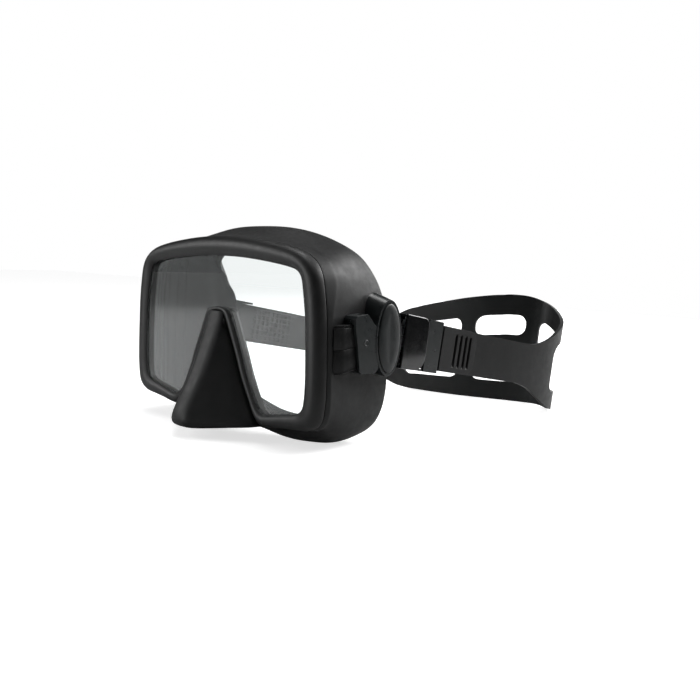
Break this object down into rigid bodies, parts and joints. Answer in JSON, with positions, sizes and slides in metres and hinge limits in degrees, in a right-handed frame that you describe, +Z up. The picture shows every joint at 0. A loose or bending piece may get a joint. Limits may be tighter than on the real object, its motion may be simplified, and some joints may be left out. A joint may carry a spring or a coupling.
{
  "type": "diving mask",
  "caption": "Single-window diving mask: rubber skirt with moulded nose pocket, rigid front rim, swivel buckles with release buttons and a windowed rubber head strap.",
  "frame": {"origin": "middle of the bounding box in plan, on the floor that the skirt and the back of the strap rest on", "axes": "-Y out through the window, +Y towards the back of the strap, +X the wearer's left, +Z up"},
  "size_m": [0.1778, 0.2606, 0.1118],
  "materials": {
    "window_glass": "clear tempered glass",
    "rim_plastic": "satin black",
    "skirt_rubber": "matte dark grey silicone",
    "strap_rubber": "smooth dark grey silicone",
    "buckle_plastic": "satin black",
    "cover_plastic": "polished black",
    "steel": "plain stainless"
  },
  "bodies": {
    "mask": {"lens": "window_glass", "front_rim": "rim_plastic", "skirt": "skirt_rubber", "nose_pocket": "skirt_rubber", "side_tab_L": "skirt_rubber", "side_tab_R": "skirt_rubber", "anchor_pin_L": "steel", "anchor_pin_R": "steel", "buckle_base_L": "buckle_plastic", "buckle_base_R": "buckle_plastic", "swivel_pin_L": "steel", "swivel_pin_R": "steel", "button_spring_L": "steel", "button_spring_R": "steel"},
    "strap_unit": {"strap": "strap_rubber", "buckle_body_L": "buckle_plastic", "buckle_body_R": "buckle_plastic", "buckle_cover_L": "cover_plastic", "buckle_cover_R": "cover_plastic", "roller_pin_L": "steel", "roller_pin_R": "steel", "pawl_pin_L": "steel", "pawl_pin_R": "steel"},
    "button_L": {"release_button_L": "buckle_plastic"},
    "button_R": {"release_button_R": "buckle_plastic"},
    "pawl_unit_L": {"pawl_L": "steel"},
    "pawl_unit_R": {"pawl_R": "steel"},
    "roller_unit_L": {"roller_L": "steel"},
    "roller_unit_R": {"roller_R": "steel"}
  },
  "joints": [
    {"name": "strap_swivel", "type": "hinge", "parent": "mask", "child": "strap_unit", "pos_m": [0, -0.0648, 0.057], "axis": [1, 0, 0], "range_deg": [-9, 25]},
    {"name": "button_L_press", "type": "slide", "parent": "mask", "child": "button_L", "axis": [-1, 0, 0], "range_m": [0, 0.001], "stiffness_N_per_m": 600, "springref_m": -0.002, "deforming": ["button_spring_L"]},
    {"name": "button_R_press", "type": "slide", "parent": "mask", "child": "button_R", "axis": [1, 0, 0], "range_m": [0, 0.001], "stiffness_N_per_m": 600, "springref_m": -0.002, "deforming": ["button_spring_R"]},
    {"name": "pawl_L_turn", "type": "hinge", "parent": "strap_unit", "child": "pawl_unit_L", "pos_m": [0.0853, -0.05179, 0.05478], "axis": [0, 0.1685, 0.9857], "range_deg": [-6.5, 0]},
    {"name": "pawl_R_turn", "type": "hinge", "parent": "strap_unit", "child": "pawl_unit_R", "pos_m": [-0.0853, -0.05179, 0.05478], "axis": [0, 0.1685, 0.9857], "range_deg": [0, 6.5]},
    {"name": "roller_L_spin", "type": "hinge", "parent": "strap_unit", "child": "roller_unit_L", "pos_m": [0.07985, -0.04844, 0.0542], "axis": [0, 0.1685, 0.9857], "continuous": true},
    {"name": "roller_R_spin", "type": "hinge", "parent": "strap_unit", "child": "roller_unit_R", "pos_m": [-0.07985, -0.04844, 0.0542], "axis": [0, 0.1685, 0.9857], "continuous": true}
  ],
  "couplings": [
    {"joint": "pawl_L_turn", "follows": "button_L_press", "rad_per_m": -110},
    {"joint": "pawl_R_turn", "follows": "button_R_press", "rad_per_m": 110}
  ]
}
